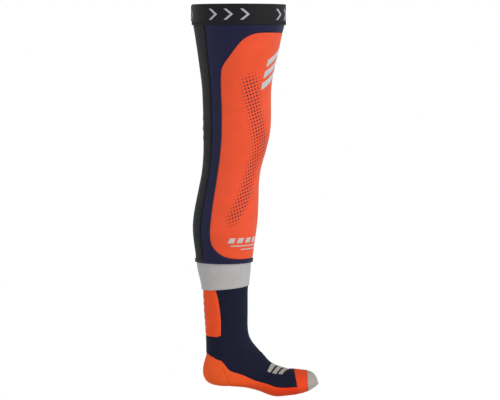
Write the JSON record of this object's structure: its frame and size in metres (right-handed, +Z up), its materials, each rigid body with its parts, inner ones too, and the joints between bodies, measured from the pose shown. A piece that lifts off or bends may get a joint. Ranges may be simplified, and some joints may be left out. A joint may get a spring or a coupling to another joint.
{
  "type": "knee brace sock",
  "caption": "Full-length brace sock for one leg: elastic thigh band, cut-and-sewn knee sleeve with a mesh back, and a knitted cushioned foot, joined at the cuff.",
  "frame": {"origin": "centre of the elastic thigh band, on its axis, at the middle of its height", "axes": "+Z up along the leg, +X forward to the toes, +Y to the wearer's left; the sock is worn upright with the knee straight"},
  "size_m": [0.2495, 0.1836, 0.766],
  "materials": {
    "elastic_band": "black woven elastic with a fine weft rib",
    "silicone": "soft silicone grip tape with wavy beads",
    "thread": "flat coverlock stitching",
    "front_fabric": "smooth stretch jersey, coral orange, with a print of small dark dots",
    "side_fabric": "smooth stretch jersey, navy",
    "back_mesh": "ribbed eyelet mesh, charcoal black",
    "seam_tape": "black flatlock seam",
    "transfer": "silver-grey heat transfer, slightly shiny",
    "cuff_rib": "light grey ribbed knit",
    "sock_knit": "navy fine knit",
    "sock_cushion": "orange terry-lined knit",
    "heel_knit": "orange terry-lined knit of the heel",
    "toe_knit": "warm grey terry-lined knit"
  },
  "bodies": {
    "thigh": {"thigh_band": "elastic_band", "grip_tape": "silicone", "band_join_patch": "elastic_band", "band_stitching": "thread", "front_panel_thigh": "front_fabric", "side_panel_thigh": "side_fabric", "back_mesh_thigh": "back_mesh", "back_seam_thigh": "seam_tape", "thigh_emblem": "transfer", "front_panel_knee": "front_fabric", "side_panel_knee": "side_fabric", "back_mesh_knee": "back_mesh", "back_seam_knee": "seam_tape"},
    "shin": {"front_panel_calf": "front_fabric", "side_panel_calf": "side_fabric", "back_mesh_calf": "back_mesh", "back_seam_calf": "seam_tape", "hem_stitching": "thread", "cuff": "cuff_rib", "shaft_knit": "sock_knit", "calf_pad": "sock_cushion", "ankle_knit": "sock_knit"},
    "foot": {"instep_knit": "sock_knit", "heel_cup": "heel_knit", "sole_cushion": "sock_cushion", "toe_band": "sock_cushion", "toe_cap": "toe_knit", "toe_seam": "toe_knit"}
  },
  "joints": [
    {"name": "knee_flex", "type": "hinge", "parent": "thigh", "child": "shin", "pos_m": [-0.008, 0, -0.226], "axis": [0, 1, 0], "range_deg": [0, 100], "deforming": ["front_panel_knee", "side_panel_knee", "back_mesh_knee", "back_seam_knee"]},
    {"name": "ankle_flex", "type": "hinge", "parent": "shin", "child": "foot", "pos_m": [-0.0255, 0, -0.649], "axis": [0, -1, 0], "range_deg": [-25, 25], "deforming": ["ankle_knit"]}
  ]
}
